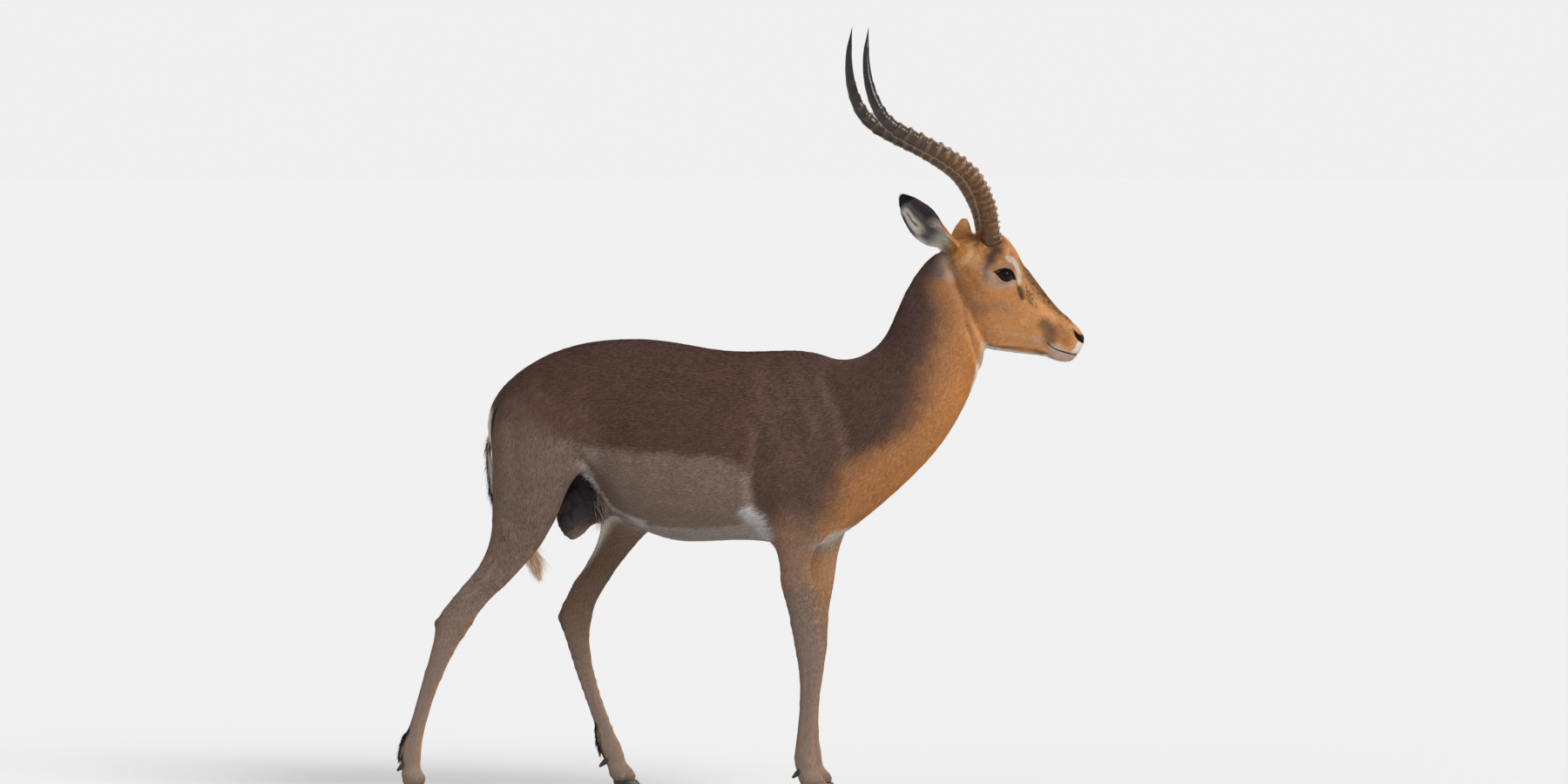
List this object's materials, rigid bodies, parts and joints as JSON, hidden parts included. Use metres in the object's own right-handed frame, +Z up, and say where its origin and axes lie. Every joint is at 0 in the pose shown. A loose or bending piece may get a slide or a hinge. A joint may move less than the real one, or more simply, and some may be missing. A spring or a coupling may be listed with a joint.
{
  "type": "impala antelope ram",
  "caption": "Life-size standing impala ram: slender red-brown body, pale belly, lyre-shaped ringed horns, cloven hoofs, hanging tail.",
  "frame": {"origin": "on the floor, under the middle of the whole animal's length and width", "axes": "+X from tail to nose, +Y to the animal's left, +Z up"},
  "size_m": [1.3438, 0.4068, 1.52],
  "materials": {
    "coat_red": "short red-brown hair lying flat, paler on the flank and white under the belly",
    "coat_fawn": "short tan hair lying flat, with white and dark marks on the face",
    "coat_leg": "very short tan hair, black tuft over the hind fetlock",
    "coat_pale": "tail with a dark line and a long white brush",
    "bare_skin": "dark grey, nearly bare skin",
    "horn": "dark brown horn, ringed below, smooth and glossy at the tip",
    "hoof": "black hoof horn, slightly glossy",
    "eye": "wet, very dark brown eyeball"
  },
  "bodies": {
    "root": {"trunk": "coat_red", "neck": "coat_fawn", "head": "coat_fawn", "eye_left": "eye", "horn_left": "horn", "ear_left": "coat_fawn", "eye_right": "eye", "horn_right": "horn", "ear_right": "coat_fawn", "foreleg_left": "coat_leg", "hoof_fore_left_outer": "hoof", "dewclaw_fore_left_outer": "hoof", "hoof_fore_left_inner": "hoof", "dewclaw_fore_left_inner": "hoof", "foreleg_right": "coat_leg", "hoof_fore_right_outer": "hoof", "dewclaw_fore_right_outer": "hoof", "hoof_fore_right_inner": "hoof", "dewclaw_fore_right_inner": "hoof", "hindleg_left": "coat_leg", "hoof_hind_left_outer": "hoof", "dewclaw_hind_left_outer": "hoof", "hoof_hind_left_inner": "hoof", "dewclaw_hind_left_inner": "hoof", "hindleg_right": "coat_leg", "hoof_hind_right_outer": "hoof", "dewclaw_hind_right_outer": "hoof", "hoof_hind_right_inner": "hoof", "dewclaw_hind_right_inner": "hoof", "tail": "coat_pale", "scrotum": "bare_skin", "sheath": "bare_skin"}
  },
  "joints": []
}
